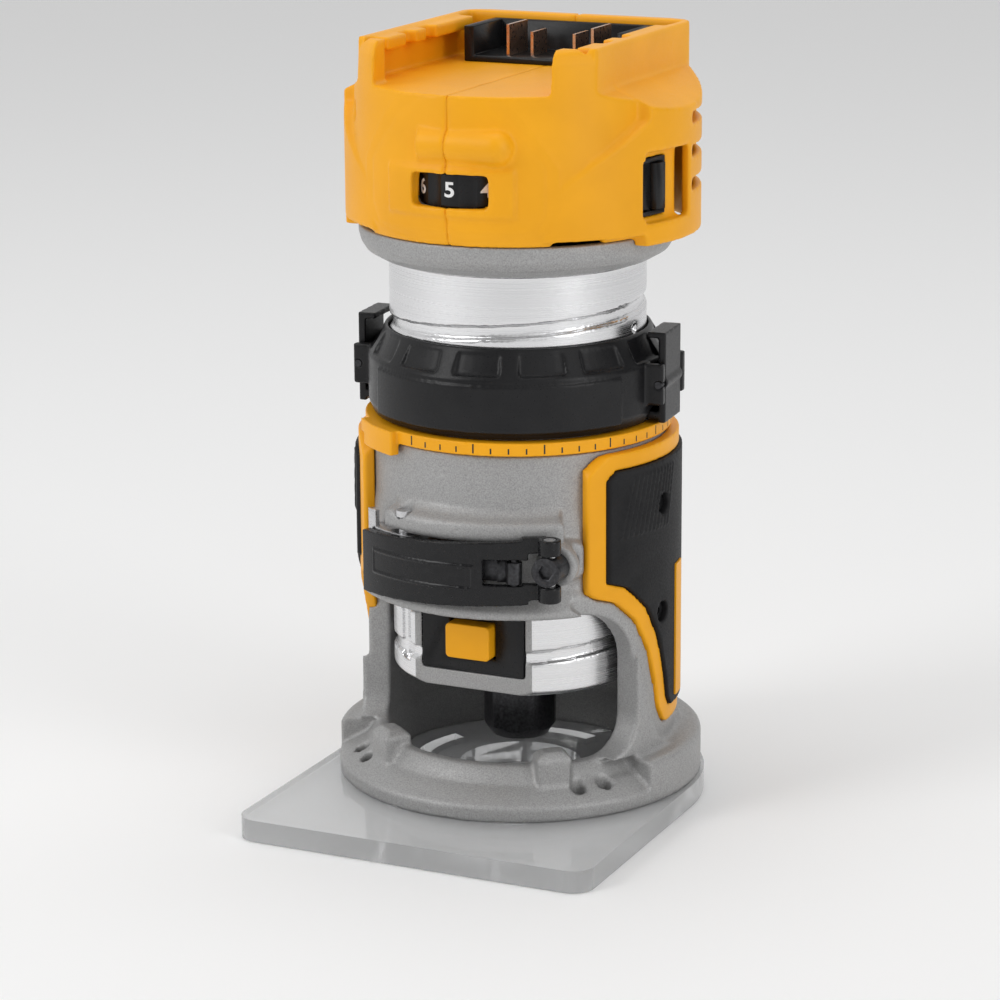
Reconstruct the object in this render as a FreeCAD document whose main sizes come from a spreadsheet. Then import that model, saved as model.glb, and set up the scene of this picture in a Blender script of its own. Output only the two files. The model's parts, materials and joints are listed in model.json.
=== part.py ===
"""Battery trim router, built as separate named pieces in one parametric document.

Frame: +Z up along the spindle, origin on the spindle axis at the underside of the clear
sub-base, front towards -Y, power switch towards +X. All lengths are in millimetres.
Angles called "bearing" are measured about the spindle from the front, positive towards +X.
"""
import FreeCAD, Part
import Sketcher
import math
import os
from FreeCAD import Placement, Rotation, Vector

DRIVING_SIZES = (
    ("fit_gap", 0.05),               # seats that are pressed or bolted together
    ("running_gap", 0.3),            # between pieces that move on each other
    # motor can
    ("can_radius", 34.5), ("can_wall", 3.0), ("can_bottom", 36.0), ("can_top", 149.8),
    ("can_floor", 6.0), ("collar_radius", 42.4), ("collar_top", 158.8), ("collar_lip", 2.6),
    ("groove_pitch", 12.7), ("groove_width", 3.6), ("groove_depth", 1.0), ("groove_start", 42.8),
    ("groove_start_bearing", -80.0), ("groove_turns", 7.85),
    ("guide_slot_width", 5.0), ("guide_slot_depth", 1.8), ("guide_bearing", -39.0),
    ("key_seat_depth", 1.3),
    # spindle lock
    ("lock_panel_width", 30.0), ("lock_panel_bottom", 40.8), ("lock_panel_height", 25.0),
    ("lock_panel_depth", 3.2), ("lock_sink", 4.3), ("lock_frame", 2.4),
    ("button_width", 12.8), ("button_height", 9.6), ("button_level", 50.2), ("button_stand", 3.5),
    ("button_travel", 3.5), ("plunger_radius", 2.2),
    # spindle, collet and motor parts
    ("shaft_radius", 5.0), ("nose_radius", 7.5), ("lock_hub_radius", 10.5), ("shaft_top", 146.0),
    ("collet_bore", 4.0), ("nut_bottom", 15.3), ("nut_top", 33.0), ("nut_flats", 18.6),
    ("nut_radius", 9.9), ("lower_bearing_radius", 16.0), ("lower_bearing_width", 8.0),
    ("upper_bearing_radius", 11.0), ("upper_bearing_width", 7.0), ("upper_bearing_level", 137.5),
    ("stator_bottom", 76.0), ("stator_height", 36.0), ("rotor_radius", 16.8), ("air_gap", 0.7),
    ("winding_height", 8.0), ("fan_level", 122.0), ("fan_height", 11.0), ("fan_gap", 2.5),
    # base casting
    ("casting_radius", 40.0), ("casting_top", 103.4), ("neck_height", 9.6), ("neck_wall", 1.9),
    ("leg_radius", 44.5), ("leg_wall", 8.0), ("window_top", 60.0), ("window_left", 75.0), ("window_right", 70.0),
    ("window_round", 17.0), ("window_foot_round", 12.0), ("flange_radius", 50.0), ("flange_top", 18.0),
    ("flange_opening", 36.0), ("ledge_radius", 45.1),
    ("ledge_level", 82.8), ("lug_bearing", 37.0), ("accessory_radius", 44.0),
    ("accessory_hole", 2.1),
    # clear sub-base
    ("sub_base_thickness", 6.0), ("sub_base_radius", 51.0), ("sub_base_front", 72.0),
    ("sub_base_corner", 6.0), ("guide_hole", 17.0), ("base_screw_circle", 43.0),
    ("base_screw_radius", 2.5), ("base_screw_bearing", 22.0),
    # depth ring and scale ring
    ("ring_radius", 40.4), ("ring_bottom", 107.6), ("ring_top", 131.2), ("ring_mouth", 35.6),
    ("ring_panel", 0.5), ("scale_radius", 41.4), ("scale_height", 3.5),
    ("tab_bearing", 95.0), ("tab_width", 14.0), ("tab_pivot_radius", 42.6),
    ("tab_pivot_level", 118.5), ("tab_pin_radius", 1.0), ("tab_top", 132.0), ("tab_bottom", 107.6),
    # clamp lever
    ("lever_radius", 45.4), ("lever_thickness", 2.4), ("lever_bottom", 64.8),
    ("lever_height", 17.4), ("lever_slope", 3.2), ("pivot_x", 27.5), ("pivot_y", -41.0),
    ("pivot_pin_radius", 1.6), ("bolt_level", 75.3), ("bolt_radius", 3.9),
    ("link_pin_bearing", 23.0), ("link_pin_radius", 0.9), ("link_radius", 46.6),
    ("strap_thickness", 1.2), ("strap_width", 5.8), ("anchor_bearing", -20.0), ("anchor_radius", 43.0),
    # grips
    ("grip_front", 29.0), ("grip_back", 41.0), ("grip_top", 102.6), ("grip_shoulder", 66.0),
    ("grip_bottom", 23.5), ("grip_tail_front", 5.0), ("grip_tail_back", 24.0),
    ("grip_frame_radius", 43.4), ("grip_pad_radius", 44.3), ("grip_border", 4.4),
    ("grip_frame_border", 5.2), ("grip_spread", 112.4), ("grip_bearing", 105.0),
    ("grip_screw_radius", 2.9), ("grip_screw_upper", 86.0), ("grip_screw_lower", 56.0),
    # head
    ("head_radius", 43.7), ("head_bottom", 158.9), ("head_wall", 2.6), ("pod_width", 47.8),
    ("pod_length", 46.0), ("pod_offset", 3.5), ("pod_top", 191.5), ("pod_skirt", 157.0),
    ("bay_floor", 197.5), ("head_top", 208.8), ("bay_half_width", 31.3), ("bay_mouth", 25.0),
    ("cheek", 34.0), ("head_back", 42.0), ("rail_depth", 4.6), ("rail_thickness", 3.4),
    ("dial_radius", 14.0), ("dial_height", 9.4), ("dial_level", 173.3), ("dial_offset", 0.7),
    ("dial_depth", 28.9), ("dial_window_width", 21.4), ("dial_window_height", 8.6),
    ("switch_level", 171.8), ("switch_height", 15.4), ("switch_width", 12.4),
    ("switch_bearing", 77.5), ("switch_face", 43.4), ("terminal_front", 18.0),
    ("terminal_half_width", 24.0), ("board_level", 150.5),
)

document = FreeCAD.newDocument("TrimRouter")
sheet = document.addObject("Spreadsheet::Sheet", "Sizes")


class Size:
    """A length or angle: its number, and the text that binds a property to the sheet."""

    def __init__(self, number, text=None):
        self.number = float(number)
        self.text = text if text else repr(float(number))

    def __add__(self, other):
        return joined(self, "+", other, self.number + as_size(other).number)

    def __sub__(self, other):
        return joined(self, "-", other, self.number - as_size(other).number)

    def __mul__(self, other):
        return joined(self, "*", other, self.number * as_size(other).number)

    def __truediv__(self, other):
        return joined(self, "/", other, self.number / as_size(other).number)

    def __radd__(self, other):
        return as_size(other) + self

    def __rsub__(self, other):
        return as_size(other) - self

    def __rmul__(self, other):
        return as_size(other) * self

    def __neg__(self):
        return as_size(0) - self


def as_size(value):
    return value if isinstance(value, Size) else Size(value)


def joined(left, sign, right, number):
    return Size(number, f"({as_size(left).text} {sign} {as_size(right).text})")


def sine(angle):
    angle = as_size(angle)
    return Size(math.sin(math.radians(angle.number)), f"sin({angle.text} * 1 deg)")


def cosine(angle):
    angle = as_size(angle)
    return Size(math.cos(math.radians(angle.number)), f"cos({angle.text} * 1 deg)")


def root(value):
    return Size(math.sqrt(value.number), f"sqrt({value.text})")


class Sizes:
    """The sheet's cells as attributes, each one a Size."""


def fill_sheet():
    """Write each driving size into its own cell and give the cell its alias."""
    sizes = Sizes()
    for row, (alias, number) in enumerate(DRIVING_SIZES, start=1):
        sheet.set(f"A{row}", alias)
        sheet.set(f"B{row}", str(number))
        sheet.setAlias(f"B{row}", alias)
        setattr(sizes, alias, Size(number, f"Sizes.{alias}"))
    document.recompute()
    return sizes


S = fill_sheet()
Z_AXIS = Vector(0, 0, 1)
UPRIGHT = Rotation()
ALONG_X = Rotation(Vector(0, 1, 0), 90)      # turns a cylinder's +Z onto +X
TOWARD_FRONT = Rotation(Vector(1, 0, 0), 90)  # turns a cylinder's +Z onto -Y
TOWARD_BACK = Rotation(Vector(1, 0, 0), -90)  # turns a cylinder's +Z onto +Y
nodes = []


# ---------------------------------------------------------------- construction helpers

def bind(thing, name, value):
    """Set a property to a size, and bind it to the sheet when the size comes from there."""
    value = as_size(value)
    if "Sizes." in value.text:
        thing.setExpression(name, value.text)
    elif not name.startswith("."):
        setattr(thing, name, value.number)


def place(thing, at=(0, 0, 0), tilt=UPRIGHT, bearing=0):
    """Tilt a piece, move it to a point, then swing both about the spindle axis."""
    x, y, z = (as_size(value) for value in at)
    bearing = as_size(bearing)
    if bearing.number:
        x, y = x * cosine(bearing) - y * sine(bearing), x * sine(bearing) + y * cosine(bearing)
    swing = Rotation(Z_AXIS, bearing.number)
    base = Vector(x.number, y.number, z.number)
    thing.Placement = Placement(base, swing.multiply(tilt))
    for name, value in (("x", x), ("y", y), ("z", z)):
        if "Sizes." in value.text:
            thing.setExpression(f".Placement.Base.{name}", value.text)
    return thing


def box(width, depth, height, at=(0, 0, 0), tilt=UPRIGHT, bearing=0):
    """A box whose first corner is at the given point before it is swung."""
    thing = document.addObject("Part::Box", "Block")
    for name, value in (("Length", width), ("Width", depth), ("Height", height)):
        bind(thing, name, value)
    return place(thing, at, tilt, bearing)


def centred_box(width, depth, height, at=(0, 0, 0), bearing=0):
    """A box centred on the given point in X and Y, standing on it in Z."""
    x, y, z = at
    corner = (x - as_size(width) / 2, y - as_size(depth) / 2, z)
    return box(width, depth, height, corner, UPRIGHT, bearing)


def cylinder(radius, height, at=(0, 0, 0), tilt=UPRIGHT, bearing=0, angle=360):
    thing = document.addObject("Part::Cylinder", "Rod")
    for name, value in (("Radius", radius), ("Height", height), ("Angle", angle)):
        bind(thing, name, value)
    return place(thing, at, tilt, bearing)


def cone(lower, upper, height, at=(0, 0, 0), tilt=UPRIGHT, bearing=0):
    thing = document.addObject("Part::Cone", "Taper")
    for name, value in (("Radius1", lower), ("Radius2", upper), ("Height", height)):
        bind(thing, name, value)
    return place(thing, at, tilt, bearing)


def ball(radius, at=(0, 0, 0), bearing=0):
    thing = document.addObject("Part::Sphere", "Ball")
    bind(thing, "Radius", radius)
    return place(thing, at, UPRIGHT, bearing)


def cut(base, *tools):
    """Cut one or more pieces out of the base."""
    thing = document.addObject("Part::Cut", "Cutting")
    thing.Base = base
    thing.Tool = tools[0] if len(tools) == 1 else fuse(*tools)
    return thing


def fuse(*parts):
    thing = document.addObject("Part::MultiFuse", "Union")
    thing.Shapes = list(parts)
    return thing


def common(*parts):
    thing = document.addObject("Part::MultiCommon", "Overlap")
    thing.Shapes = list(parts)
    return thing


def group(*parts):
    """Several loose solids that share one node, such as a set of screws."""
    thing = document.addObject("Part::Compound", "Set")
    thing.Links = list(parts)
    return thing


def sketch_on(body, plane, outline):
    """A closed outline of straight sides on an origin plane, each corner bound to the sheet."""
    support = next(f for f in body.Origin.OriginFeatures if f.Role == plane)
    sketch = body.newObject("Sketcher::SketchObject", "Outline")
    sketch.AttachmentSupport = (support, [""])
    sketch.MapMode = "FlatFace"
    draw_outline(sketch, [(as_size(a), as_size(b)) for a, b in outline])
    return sketch


def draw_outline(sketch, corners):
    """Draw the sides between the corners and bind each corner's place to the sheet."""
    points = [Vector(a.number, b.number, 0) for a, b in corners]
    for index, point in enumerate(points):
        sketch.addGeometry(Part.LineSegment(point, points[(index + 1) % len(points)]), False)
    for index in range(len(points)):
        following = (index + 1) % len(points)
        sketch.addConstraint(Sketcher.Constraint("Coincident", index, 2, following, 1))
    for index, (a, b) in enumerate(corners):
        for kind, value, letter in (("DistanceX", a, "a"), ("DistanceY", b, "b")):
            number = sketch.addConstraint(
                Sketcher.Constraint(kind, -1, 1, index, 1, value.number))
            sketch.renameConstraint(number, f"{letter}{index}")
            if "Sizes." in value.text:
                sketch.setExpression(f".Constraints.{letter}{index}", value.text)


def turned(profile, angle=360, start=0):
    """A body turned about the spindle axis from a profile of (radius, height) corners.

    A part turn covers the given angle towards +X, from the starting bearing.
    """
    body = document.addObject("PartDesign::Body", "Turned")
    sketch = sketch_on(body, "XZ_Plane", profile)
    turn = body.newObject("PartDesign::Revolution", "Turn")
    turn.Profile = sketch
    turn.ReferenceAxis = (sketch, ["V_Axis"])
    bind(turn, "Angle", angle)
    body.Tip = turn
    if as_size(angle).number != 360:
        # the profile lies at bearing 90, so a part turn is swung back to its start
        body.Placement = Placement(Vector(), Rotation(Z_AXIS, as_size(start).number - 90))
    return body


def prism(plane, outline, length, at=(0, 0, 0)):
    """A body padded from a straight-sided outline, along its plane's normal."""
    body = document.addObject("PartDesign::Body", "Prism")
    sketch = sketch_on(body, plane, outline)
    pad = body.newObject("PartDesign::Pad", "Pad")
    pad.Profile = sketch
    bind(pad, "Length", length)
    body.Tip = pad
    return place(body, at)


def shell(inner, outer, bottom, top, angle=360, start=0):
    """A length of tube, or a sector of one, about the spindle axis."""
    return turned([(inner, bottom), (outer, bottom), (outer, top), (inner, top)], angle, start)


def rounded(thing, radius, wanted, chamfer=False):
    """Round (or chamfer) the edges of a finished shape that the test picks out."""
    document.recompute()
    picked = [n for n, edge in enumerate(thing.Shape.Edges, start=1) if wanted(edge)]
    kind = "Part::Chamfer" if chamfer else "Part::Fillet"
    softened = document.addObject(kind, "Softened")
    softened.Base = thing
    size = as_size(radius).number
    softened.Edges = [(number, size, size) for number in picked]
    return softened


def upright(edge):
    """A straight edge along Z."""
    return (edge.Curve.TypeId == "Part::GeomLine"
            and abs(abs(edge.tangentAt(edge.FirstParameter).z) - 1) < 1e-6)


def straight_across(edge):
    """A straight edge that lies level."""
    return (edge.Curve.TypeId == "Part::GeomLine"
            and abs(edge.tangentAt(edge.FirstParameter).z) < 1e-6)


def at_height(level):
    """A test for edges that lie at one height."""
    return lambda edge: (abs(edge.BoundBox.ZMin - level) < 1e-4
                         and abs(edge.BoundBox.ZMax - level) < 1e-4)


def node(label, thing):
    """Name a finished piece; the label is the name of its file."""
    thing.Label = label
    nodes.append(thing)
    return thing


def mirrored_in_x(thing):
    """The same piece on the other side of the YZ plane."""
    twin = document.addObject("Part::Mirroring", "Twin")
    twin.Source = thing
    twin.Base = Vector(0, 0, 0)
    twin.Normal = Vector(1, 0, 0)
    return twin


# ---------------------------------------------------------------- motor can and spindle lock

def motor_can():
    """Aluminium cup with a cast collar on top, a lead-screw groove and a flat for the lock."""
    inside = S.can_radius - S.can_wall
    seat = S.lower_bearing_radius + S.fit_gap
    seat_bottom = S.can_bottom + 2
    can = turned([
        (9, S.can_bottom), (S.can_radius - 1.2, S.can_bottom), (S.can_radius, S.can_bottom + 1.2),
        (S.can_radius, S.can_top), (S.can_radius + 2.2, S.can_top + 0.3),
        (S.collar_radius - 2, S.can_top + 2.4), (S.collar_radius - 0.6, S.can_top + 4.6),
        (S.collar_radius, S.collar_top - 2), (S.collar_radius, S.collar_top),
        (S.collar_radius - S.collar_lip, S.collar_top),
        (S.collar_radius - S.collar_lip, S.can_top + 7), (inside, S.can_top + 1.4),
        (inside, S.can_bottom + S.can_floor), (seat + 3, S.can_bottom + S.can_floor),
        (seat + 3, seat_bottom + S.lower_bearing_width),
        (seat, seat_bottom + S.lower_bearing_width), (seat, seat_bottom), (9, seat_bottom),
    ])
    groove = lead_screw_groove()
    slot = centred_box(S.guide_slot_width, 2 * S.guide_slot_depth, 79,
                       (0, -S.can_radius, S.can_bottom + 5), S.guide_bearing)
    panel_half = S.lock_panel_width / 2
    flat_bottom = S.can_bottom - 1
    flat = centred_box(S.lock_panel_width + 2 * S.lock_frame, 12,
                       S.lock_panel_bottom + S.lock_panel_height + 2.1 - flat_bottom,
                       (0, -lock_face() - 5.8, flat_bottom))
    window = centred_box(S.lock_panel_width + 0.2, 14, S.lock_panel_height + 0.2,
                         (0, -lock_face(), S.lock_panel_bottom - 0.1))
    drain = radial_rod(1.2, S.can_radius - 1.2, S.can_radius + 1, 132.2, 88)
    return cut(can, groove, slot, flat, window, drain)


def lead_screw_groove():
    """The coarse helical groove that the depth ring's lugs run in."""
    line = document.addObject("Part::Helix", "GrooveLine")
    bind(line, "Pitch", S.groove_pitch)
    bind(line, "Height", S.groove_pitch * S.groove_turns)
    bind(line, "Radius", S.can_radius)
    section = document.addObject("Part::Plane", "GrooveSection")
    bind(section, "Length", S.groove_depth + 2)
    bind(section, "Width", S.groove_width)
    place(section, (S.can_radius - S.groove_depth, 0, -S.groove_width / 2), TOWARD_FRONT)
    groove = document.addObject("Part::Sweep", "Groove")
    groove.Sections = [section]
    groove.Spine = (line, [])
    groove.Solid = True
    groove.Frenet = True
    # the helix begins at bearing 90, so it is swung to the bearing where the groove starts
    return place(groove, (0, 0, S.groove_start), UPRIGHT, S.groove_start_bearing - 90)


def lock_face():
    """Distance of the lock panel's face from the spindle axis."""
    return S.can_radius - S.lock_sink


def button_face():
    return lock_face() + S.button_stand


def lock_panel():
    """Black plate on the can's flat, with the hole that guides the lock button."""
    panel = centred_box(S.lock_panel_width, S.lock_panel_depth, S.lock_panel_height,
                        (0, -lock_face() + S.lock_panel_depth / 2, S.lock_panel_bottom))
    opening = centred_box(S.button_width + 2 * S.running_gap, 12, S.button_height + 2 * S.running_gap,
                          (0, -lock_face(), button_bottom() - S.running_gap))
    return cut(panel, opening)


def button_bottom():
    return S.button_level - S.button_height / 2


def lock_button():
    """Yellow push button with a shoulder behind the panel."""
    depth = button_face() - lock_face() + S.lock_panel_depth + S.running_gap
    cap = centred_box(S.button_width, depth, S.button_height,
                      (0, -button_face() + depth / 2, button_bottom()))
    cap = rounded(cap, 1.2, lambda edge: straight_along_y(edge))
    shoulder = centred_box(S.button_width + 2.4, 1.6, S.button_height + 2.4,
                           (0, -button_face() + depth + 0.8, button_bottom() - 1.2))
    return fuse(cap, shoulder)


def straight_along_y(edge):
    """A straight edge along Y."""
    return (edge.Curve.TypeId == "Part::GeomLine"
            and abs(abs(edge.tangentAt(edge.FirstParameter).y) - 1) < 1e-6)


def shoulder_back():
    """How far in front of the spindle axis the button's shoulder ends, as a distance."""
    return lock_face() - S.lock_panel_depth - S.running_gap - 1.6


def lock_plunger():
    """Steel pin that the button pushes into a hole in the spindle's lock hub."""
    start = shoulder_back()
    length = start - S.lock_hub_radius - 0.6
    return cylinder(S.plunger_radius, length, (0, -start, S.button_level), TOWARD_BACK)


def spindle():
    """Shaft with a collet socket in its nose and a hub with four holes for the lock."""
    hub_bottom = S.button_level - S.plunger_radius - 1.2
    hub_top = S.button_level + S.plunger_radius + 1.2
    shaft = turned([
        (6.2, 17), (S.nose_radius, 17), (S.nose_radius, hub_bottom),
        (S.lock_hub_radius, hub_bottom), (S.lock_hub_radius, hub_top), (7, hub_top), (7, 62),
        (S.shaft_radius, 64), (S.shaft_radius, S.shaft_top - 0.8),
        (S.shaft_radius - 0.8, S.shaft_top), (0, S.shaft_top), (0, 42), (5, 39),
    ])
    across = S.plunger_radius + 0.4
    holes = [cylinder(across, 2 * S.lock_hub_radius + 2,
                      (0, S.lock_hub_radius + 1, S.button_level), TOWARD_FRONT, bearing)
             for bearing in (0, 90)]
    core = cylinder(6, hub_top - hub_bottom, (0, 0, hub_bottom))
    return cut(shaft, cut(fuse(*holes), core))


def collet():
    """Split taper that grips an 8 mm shank."""
    sleeve = turned([(S.collet_bore, 14.6), (6.0, 14.6), (6.0, 16.8), (4.9, 38.6),
                     (S.collet_bore, 38.6)])
    slits = [centred_box(0.8, 20, 19, (0, 0, 12), bearing) for bearing in (0, 45, 90, 135)]
    return cut(sleeve, *slits)


def collet_nut():
    """Blackened nut: six wide flats on a round body with a chamfered nose."""
    body = turned([
        (6.1, S.nut_bottom), (S.nut_radius - 2, S.nut_bottom), (S.nut_radius, S.nut_bottom + 3),
        (S.nut_radius, S.nut_top - 0.6), (S.nut_radius - 0.6, S.nut_top),
        (S.nose_radius + S.fit_gap, S.nut_top), (S.nose_radius + S.fit_gap, 17), (6.1, 16.8),
    ])
    hexagon = document.addObject("Part::Prism", "Hexagon")
    hexagon.Polygon = 6
    bind(hexagon, "Circumradius", S.nut_flats / 2 / cosine(30))
    bind(hexagon, "Height", S.nut_top - S.nut_bottom)
    place(hexagon, (0, 0, S.nut_bottom), UPRIGHT, 15)
    return common(body, hexagon)


# ---------------------------------------------------------------- motor internals

def bearing_race(bore, outer, level, width):
    """A ball bearing as one ring with its shields set back from both faces."""
    step = 0.6
    shield_in = bore + 1.4
    shield_out = outer - 1.8
    return turned([
        (bore, level), (shield_in, level), (shield_in, level + step), (shield_out, level + step),
        (shield_out, level), (outer, level), (outer, level + width),
        (shield_out, level + width), (shield_out, level + width - step),
        (shield_in, level + width - step), (shield_in, level + width), (bore, level + width),
    ])


def fan():
    hub = shell(S.shaft_radius + S.fit_gap, 9, S.fan_level, S.fan_level + S.fan_height)
    radius = S.can_radius - S.can_wall - S.fan_gap
    disc = shell(8.5, radius, S.fan_level, S.fan_level + 1.6)
    blade_count = 11
    blades = [box(1.4, radius - 9.2, S.fan_height, (-3, -radius + 0.6, S.fan_level),
                  UPRIGHT, index * 360 / blade_count) for index in range(blade_count)]
    return fuse(hub, disc, *blades)


def bearing_bracket():
    """Spoked plate in the top of the can that carries the upper bearing."""
    low = S.upper_bearing_level - 1.5
    seat = S.upper_bearing_radius + S.fit_gap
    plate = turned([
        (7, low), (S.can_radius - S.can_wall - S.fit_gap, low),
        (S.can_radius - S.can_wall - S.fit_gap, low + 3.5), (seat + 2.4, low + 3.5),
        (seat + 2.4, S.upper_bearing_level + S.upper_bearing_width),
        (seat, S.upper_bearing_level + S.upper_bearing_width), (seat, S.upper_bearing_level),
        (7, S.upper_bearing_level),
    ])
    vents = [cylinder(5.6, 8, (0, -22, low - 2), UPRIGHT, index * 60) for index in range(6)]
    return cut(plate, *vents)


def controller_case():
    """Potting tray of the motor controller, resting in the mouth of the can."""
    rim = S.can_radius - S.can_wall - S.fit_gap
    wall = rim - 2.45
    return turned([(0, 147.5), (rim, 147.5), (rim, S.board_level), (wall, S.board_level),
                   (wall, 159.6), (0, 159.6)])


def controller_board():
    """Circuit board on the tray, with the two capacitors that stand on it."""
    board = cylinder(36, 1.6, (0, 0, 159.65))
    capacitors = [cylinder(4, 14, (x, 14, 161.2)) for x in (-6, 6)]
    return fuse(board, *capacitors)


def dial_place(level):
    return (S.dial_offset, -S.dial_depth, level)


def speed_pot():
    """Potentiometer on the board whose shaft carries the speed dial."""
    bottom = S.dial_level - S.dial_height / 2 - S.running_gap
    case = cylinder(5, bottom - 161.3, dial_place(161.3))
    stem = cylinder(2, 6, dial_place(bottom - 0.5))
    return fuse(case, stem)


def speed_dial():
    """Thumb wheel with a shallow valley between each pair of its nine places."""
    bottom = S.dial_level - S.dial_height / 2
    wheel = cylinder(S.dial_radius, S.dial_height, dial_place(bottom))
    wheel = rounded(wheel, 0.8, lambda edge: edge.Closed)
    places = 9
    valleys = []
    for index in range(places):
        turn = (index + 0.5) * 360 / places
        reach = S.dial_radius + 5.3
        x, y, z = dial_place(bottom - 1)
        valleys.append(cylinder(6, S.dial_height + 2,
                                (x + reach * sine(turn), y - reach * cosine(turn), z)))
    bore = cylinder(2 + 0.08, 7, dial_place(bottom - 1))
    return cut(wheel, bore, *valleys)


def switch_body():
    """Switch case behind the side window, with a pocket for the rocker."""
    bottom = S.switch_level - S.switch_height / 2 + 0.2
    height = S.switch_height - 0.4
    case = centred_box(S.switch_width - 0.4, 17, height,
                       (0, -S.switch_face + 8.5, bottom), S.switch_bearing)
    pocket = centred_box(S.switch_width - 2.2, 10, height - 2.2,
                         (0, -S.switch_face, bottom + 1.1), S.switch_bearing)
    pivots = cylinder(1.0, height - 1, (0, -S.switch_face + 1.6, bottom + 0.5), UPRIGHT,
                      S.switch_bearing)
    return cut(case, pocket, pivots)


def power_rocker():
    """Rocker with its rear half proud of the case; it tips on two stub pivots."""
    bottom = S.switch_level - S.switch_height / 2 + 1.7
    height = S.switch_height - 3.4
    blade = prism("XY_Plane", [(-4.5, 0.6), (-4.5, -0.5), (0.2, -1.0), (0.9, -2.6), (4.4, -2.9),
                               (4.4, 1.4), (0, 1.9)], height)
    stubs = cylinder(0.9, height + 1.9, (0, 0, -0.95))
    rocker = fuse(blade, stubs)
    return place(rocker, (0, -S.switch_face + 1.6, bottom), UPRIGHT, S.switch_bearing)


# ---------------------------------------------------------------- head

def pod_outline(shrink, bottom, top):
    """The swollen sides of the head: an upright elliptical column."""
    ellipse = document.addObject("Part::Ellipse", "PodOutline")
    bind(ellipse, "MajorRadius", S.pod_width - shrink)
    bind(ellipse, "MinorRadius", S.pod_length - shrink)
    column = document.addObject("Part::Extrusion", "PodColumn")
    column.Base = ellipse
    column.DirMode = "Custom"
    column.Dir = Z_AXIS
    column.Solid = True
    bind(column, "LengthFwd", top - bottom)
    return place(column, (0, S.pod_offset, bottom))


def head_solid():
    """The head's outer form before it is hollowed."""
    radius = S.head_radius
    drum = turned([
        (0, S.head_bottom), (radius - 1.2, S.head_bottom), (radius - 0.2, S.head_bottom + 4),
        (radius, S.head_bottom + 9), (radius, S.head_bottom + 20), (radius - 0.4, 186),
        (radius - 0.7, 192), (radius - 1.1, 199), (radius - 1.5, S.head_top - 3.6),
        (radius - 2.4, S.head_top - 1), (radius - 3.4, S.head_top), (0, S.head_top),
    ])
    crown = prism("XZ_Plane", [
        (-60, 150), (60, 150), (60, S.pod_top - 6), (S.pod_width + 1, S.pod_top - 0.6),
        (S.cheek, S.bay_floor), (S.cheek, S.head_top + 1), (-S.cheek, S.head_top + 1),
        (-S.cheek, S.bay_floor), (-S.pod_width - 1, S.pod_top - 0.6), (-60, S.pod_top - 6),
    ], 120, (0, 60, 0))
    drum = common(drum, crown)
    side = prism("YZ_Plane", [
        (-15, S.pod_skirt), (-15, 160), (-36, 160), (-34, 174), (-28, 180), (-21, 185),
        (-14, S.pod_top - 1.6), (-4, S.pod_top), (36, S.pod_top), (50, S.pod_top - 6),
        (50, S.pod_skirt),
    ], 110, (-55, 0, 0))
    pods = common(pod_outline(0, S.pod_skirt, S.pod_top), side)
    roof = prism("XZ_Plane", [
        (-S.cheek - 1, S.bay_floor), (-S.pod_width - 1, S.pod_top - 0.6),
        (-S.pod_width - 1, S.pod_top - 12), (S.pod_width + 1, S.pod_top - 12),
        (S.pod_width + 1, S.pod_top - 0.6), (S.cheek + 1, S.bay_floor),
    ], 56, (0, 42, 0))
    shoulders = common(pod_outline(0, S.pod_top - 12, S.bay_floor), roof)
    tower = box(2 * S.cheek, S.head_back + 25.5, S.head_top - 190, (-S.cheek, -25.5, 190))
    tower = rounded(tower, 6, lambda edge: upright(edge) and edge.BoundBox.YMin > 0)
    return fuse(drum, pods, shoulders, tower)


def head_cavity():
    """The room inside the head for the controller, switch and dial."""
    wall = S.head_wall
    radius = S.head_radius - wall
    drum = turned([
        (0, S.pod_skirt - 2), (radius - 1.2, S.pod_skirt - 2), (radius, S.head_bottom + 9),
        (radius - 1, 186), (radius - 1.6, S.bay_floor - wall), (0, S.bay_floor - wall),
    ])
    pods = common(pod_outline(wall, S.pod_skirt - 2, S.pod_top - 9),
                  box(120, 59, 60, (-60, -13, 140)))
    return fuse(drum, pods)


def battery_bay():
    """The slot that the battery's foot slides into, open to the front and to the top."""
    above = S.head_top - S.bay_floor + 4
    slot = box(2 * S.bay_half_width, S.head_back - 4 + 27, above,
               (-S.bay_half_width, -27, S.bay_floor))
    mouth = box(2 * S.bay_mouth, 40, above, (-S.bay_mouth, -60, S.bay_floor))
    return fuse(slot, mouth)


def battery_rails():
    """Inward lips along both sides of the bay, notched for the battery's latches."""
    rails = []
    for side in (-1, 1):
        inner = S.bay_half_width - S.rail_depth
        corner = inner if side > 0 else -S.bay_half_width - 0.2
        rail = box(S.rail_depth + 0.2, 52, S.rail_thickness,
                   (corner, -22, S.head_top - S.rail_thickness - 0.4))
        notches = [centred_box(5, 6, 10, (side * (inner + 0.4), y, S.head_top - 6))
                   for y in (-8, 4)]
        rails.append(cut(rail, *notches))
    return fuse(*rails)


def screw_posts():
    """The clamshell screws, all along X: y, z, where the head sits and how far the post goes."""
    back = S.pod_width - 21.8
    return ((-22, 189, 33, 33), (-4, 190, 33, S.pod_width - 6.8),
            (37, 170, back, back), (37, 187, back, back))


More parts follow.
